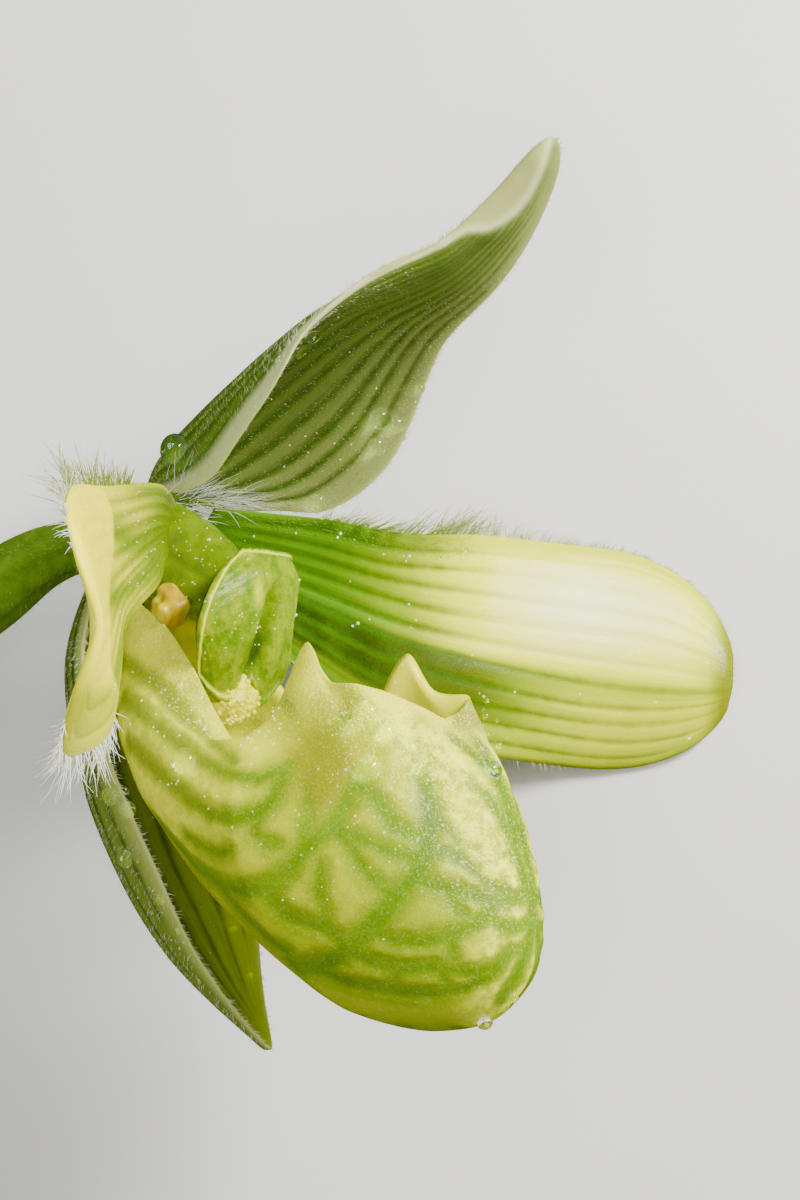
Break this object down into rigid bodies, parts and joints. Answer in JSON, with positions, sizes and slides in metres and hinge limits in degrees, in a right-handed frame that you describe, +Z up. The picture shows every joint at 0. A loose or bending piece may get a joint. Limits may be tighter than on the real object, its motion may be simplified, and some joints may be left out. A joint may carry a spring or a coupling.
{
  "type": "slipper orchid flower",
  "caption": "Cut slipper orchid flower lying on its side, with striped upper sepal, spoon-shaped hairy petals, net-veined pouch and curved stem.",
  "frame": {"origin": "middle of the box's underside, on the ground the flower lies on", "axes": "+Z up from the ground; +X toward the left petal's end and the pouch's toe; +Y toward the dorsal sepal's tip"},
  "size_m": [0.0818, 0.0932, 0.0722],
  "materials": {
    "sepal_skin": "satin",
    "petal_skin": "satin",
    "pouch_skin": "gloss",
    "column_green": "gloss",
    "staminode_green": "gloss",
    "stigma_yellow": "gloss",
    "anther_orange": "satin",
    "stem_green": "satin",
    "bract_green": "satin"
  },
  "bodies": {
    "root": {"dorsal_sepal": "sepal_skin", "synsepal": "sepal_skin", "petal_left": "petal_skin", "petal_right": "petal_skin", "pouch": "pouch_skin", "column": "column_green", "staminode": "staminode_green", "stigma": "stigma_yellow", "anther_left": "anther_orange", "anther_right": "anther_orange", "ovary": "stem_green", "bract": "bract_green", "scape": "stem_green"}
  },
  "joints": []
}
